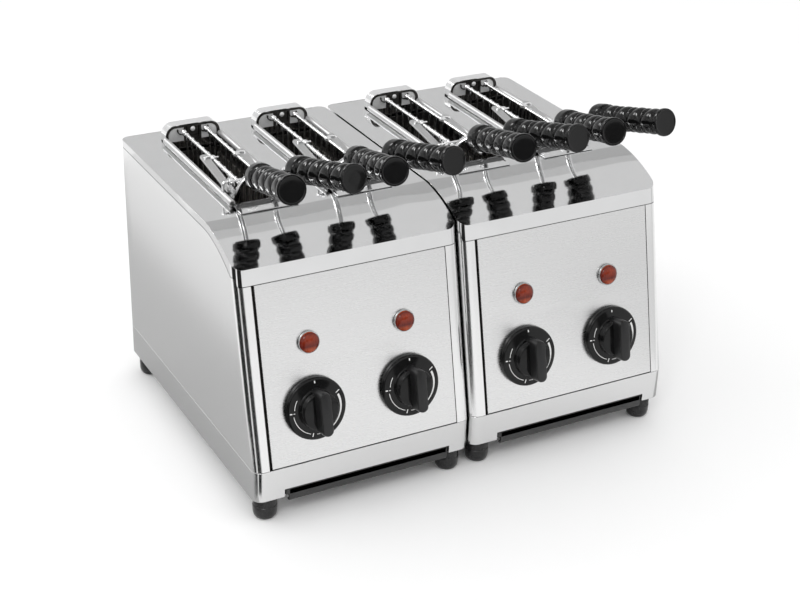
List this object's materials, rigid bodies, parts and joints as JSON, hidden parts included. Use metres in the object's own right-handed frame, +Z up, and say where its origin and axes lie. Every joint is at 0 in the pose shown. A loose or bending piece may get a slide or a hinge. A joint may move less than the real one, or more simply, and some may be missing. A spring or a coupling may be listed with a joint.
{
  "type": "toaster",
  "caption": "Wide steel toaster made of paired modules, with long slots, ribbed-handled wire tongs, round timer knobs, red lamps and crumb trays.",
  "frame": {"origin": "middle of the underside of the whole toaster's box, on the table", "axes": "+Z up, +Y to the back, +X to the right of someone facing the knobs"},
  "size_m": [0.372, 0.298, 0.2832],
  "materials": {
    "polished_steel": "mirror polished",
    "brushed_steel": "fine brushed",
    "wire_steel": "bright drawn wire",
    "black_plastic": "glossy black",
    "black_enamel": "satin black",
    "rubber": "matt",
    "lamp_red": "clear orange-red lens in a bright bezel",
    "dark_steel": "heat-darkened sheet"
  },
  "bodies": {
    "root": {"base_left": "brushed_steel", "body_left": "brushed_steel", "front_panel_left": "brushed_steel", "cover_left": "polished_steel", "base_right": "brushed_steel", "body_right": "brushed_steel", "front_panel_right": "brushed_steel", "cover_right": "polished_steel", "timer_1": "dark_steel", "lamp_1": "lamp_red", "slot_frame_1": "polished_steel", "heater_cage_1": "dark_steel", "timer_2": "dark_steel", "lamp_2": "lamp_red", "slot_frame_2": "polished_steel", "heater_cage_2": "dark_steel", "timer_3": "dark_steel", "lamp_3": "lamp_red", "slot_frame_3": "polished_steel", "heater_cage_3": "dark_steel", "timer_4": "dark_steel", "lamp_4": "lamp_red", "slot_frame_4": "polished_steel", "heater_cage_4": "dark_steel", "foot_1": "rubber", "foot_2": "rubber", "foot_3": "rubber", "foot_4": "rubber", "foot_5": "rubber", "foot_6": "rubber", "foot_7": "rubber", "foot_8": "rubber", "cord_gland": "rubber", "joining_plate": "brushed_steel"},
    "crumb_tray_left": {"crumb_tray_left": "black_enamel"},
    "crumb_tray_right": {"crumb_tray_right": "black_enamel"},
    "knob_1": {"knob_1": "black_plastic"},
    "knob_2": {"knob_2": "black_plastic"},
    "knob_3": {"knob_3": "black_plastic"},
    "knob_4": {"knob_4": "black_plastic"},
    "tong_1": {"tong_bridge_1": "wire_steel"},
    "tong_1_left_jaw": {"tong_jaw_left_1": "wire_steel", "tong_handle_left_1": "black_plastic"},
    "tong_1_right_jaw": {"tong_jaw_right_1": "wire_steel", "tong_handle_right_1": "black_plastic"},
    "tong_2": {"tong_bridge_2": "wire_steel"},
    "tong_2_left_jaw": {"tong_jaw_left_2": "wire_steel", "tong_handle_left_2": "black_plastic"},
    "tong_2_right_jaw": {"tong_jaw_right_2": "wire_steel", "tong_handle_right_2": "black_plastic"},
    "tong_3": {"tong_bridge_3": "wire_steel"},
    "tong_3_left_jaw": {"tong_jaw_left_3": "wire_steel", "tong_handle_left_3": "black_plastic"},
    "tong_3_right_jaw": {"tong_jaw_right_3": "wire_steel", "tong_handle_right_3": "black_plastic"},
    "tong_4": {"tong_bridge_4": "wire_steel"},
    "tong_4_left_jaw": {"tong_jaw_left_4": "wire_steel", "tong_handle_left_4": "black_plastic"},
    "tong_4_right_jaw": {"tong_jaw_right_4": "wire_steel", "tong_handle_right_4": "black_plastic"}
  },
  "joints": [
    {"name": "crumb_tray_left_slide", "type": "slide", "parent": "root", "child": "crumb_tray_left", "axis": [0, -1, 0], "range_m": [0, 0.2]},
    {"name": "crumb_tray_right_slide", "type": "slide", "parent": "root", "child": "crumb_tray_right", "axis": [0, -1, 0], "range_m": [0, 0.2]},
    {"name": "knob_1_turn", "type": "hinge", "parent": "root", "child": "knob_1", "pos_m": [-0.1335, -0.12169, 0.08716], "axis": [0, 0.9767, -0.2147], "range_deg": [0, 300]},
    {"name": "knob_2_turn", "type": "hinge", "parent": "root", "child": "knob_2", "pos_m": [-0.0535, -0.12169, 0.08716], "axis": [0, 0.9767, -0.2147], "range_deg": [0, 300]},
    {"name": "knob_3_turn", "type": "hinge", "parent": "root", "child": "knob_3", "pos_m": [0.0535, -0.12169, 0.08716], "axis": [0, 0.9767, -0.2147], "range_deg": [0, 300]},
    {"name": "knob_4_turn", "type": "hinge", "parent": "root", "child": "knob_4", "pos_m": [0.1335, -0.12169, 0.08716], "axis": [0, 0.9767, -0.2147], "range_deg": [0, 300]},
    {"name": "tong_1_lift", "type": "slide", "parent": "root", "child": "tong_1", "axis": [0, 0, 1], "range_m": [0, 0.11]},
    {"name": "tong_1_left_squeeze", "type": "hinge", "parent": "tong_1", "child": "tong_1_left_jaw", "pos_m": [-0.1515, -0.01001, 0.22999], "axis": [0, 0, 1], "range_deg": [0, 3], "stiffness_Nm_per_rad": 6},
    {"name": "tong_1_right_squeeze", "type": "hinge", "parent": "tong_1", "child": "tong_1_right_jaw", "pos_m": [-0.1155, -0.01001, 0.22999], "axis": [0, 0, 1], "range_deg": [-3, 0], "stiffness_Nm_per_rad": 6},
    {"name": "tong_2_lift", "type": "slide", "parent": "root", "child": "tong_2", "axis": [0, 0, 1], "range_m": [0, 0.11]},
    {"name": "tong_2_left_squeeze", "type": "hinge", "parent": "tong_2", "child": "tong_2_left_jaw", "pos_m": [-0.0715, -0.01001, 0.22999], "axis": [0, 0, 1], "range_deg": [0, 3], "stiffness_Nm_per_rad": 6},
    {"name": "tong_2_right_squeeze", "type": "hinge", "parent": "tong_2", "child": "tong_2_right_jaw", "pos_m": [-0.0355, -0.01001, 0.22999], "axis": [0, 0, 1], "range_deg": [-3, 0], "stiffness_Nm_per_rad": 6},
    {"name": "tong_3_lift", "type": "slide", "parent": "root", "child": "tong_3", "axis": [0, 0, 1], "range_m": [0, 0.11]},
    {"name": "tong_3_left_squeeze", "type": "hinge", "parent": "tong_3", "child": "tong_3_left_jaw", "pos_m": [0.0355, -0.01001, 0.22999], "axis": [0, 0, 1], "range_deg": [0, 3], "stiffness_Nm_per_rad": 6},
    {"name": "tong_3_right_squeeze", "type": "hinge", "parent": "tong_3", "child": "tong_3_right_jaw", "pos_m": [0.0715, -0.01001, 0.22999], "axis": [0, 0, 1], "range_deg": [-3, 0], "stiffness_Nm_per_rad": 6},
    {"name": "tong_4_lift", "type": "slide", "parent": "root", "child": "tong_4", "axis": [0, 0, 1], "range_m": [0, 0.11]},
    {"name": "tong_4_left_squeeze", "type": "hinge", "parent": "tong_4", "child": "tong_4_left_jaw", "pos_m": [0.1155, -0.01001, 0.22999], "axis": [0, 0, 1], "range_deg": [0, 3], "stiffness_Nm_per_rad": 6},
    {"name": "tong_4_right_squeeze", "type": "hinge", "parent": "tong_4", "child": "tong_4_right_jaw", "pos_m": [0.1515, -0.01001, 0.22999], "axis": [0, 0, 1], "range_deg": [-3, 0], "stiffness_Nm_per_rad": 6}
  ],
  "couplings": [
    {"joint": "tong_1_right_squeeze", "follows": "tong_1_left_squeeze", "ratio": -1},
    {"joint": "tong_2_right_squeeze", "follows": "tong_2_left_squeeze", "ratio": -1},
    {"joint": "tong_3_right_squeeze", "follows": "tong_3_left_squeeze", "ratio": -1},
    {"joint": "tong_4_right_squeeze", "follows": "tong_4_left_squeeze", "ratio": -1}
  ]
}
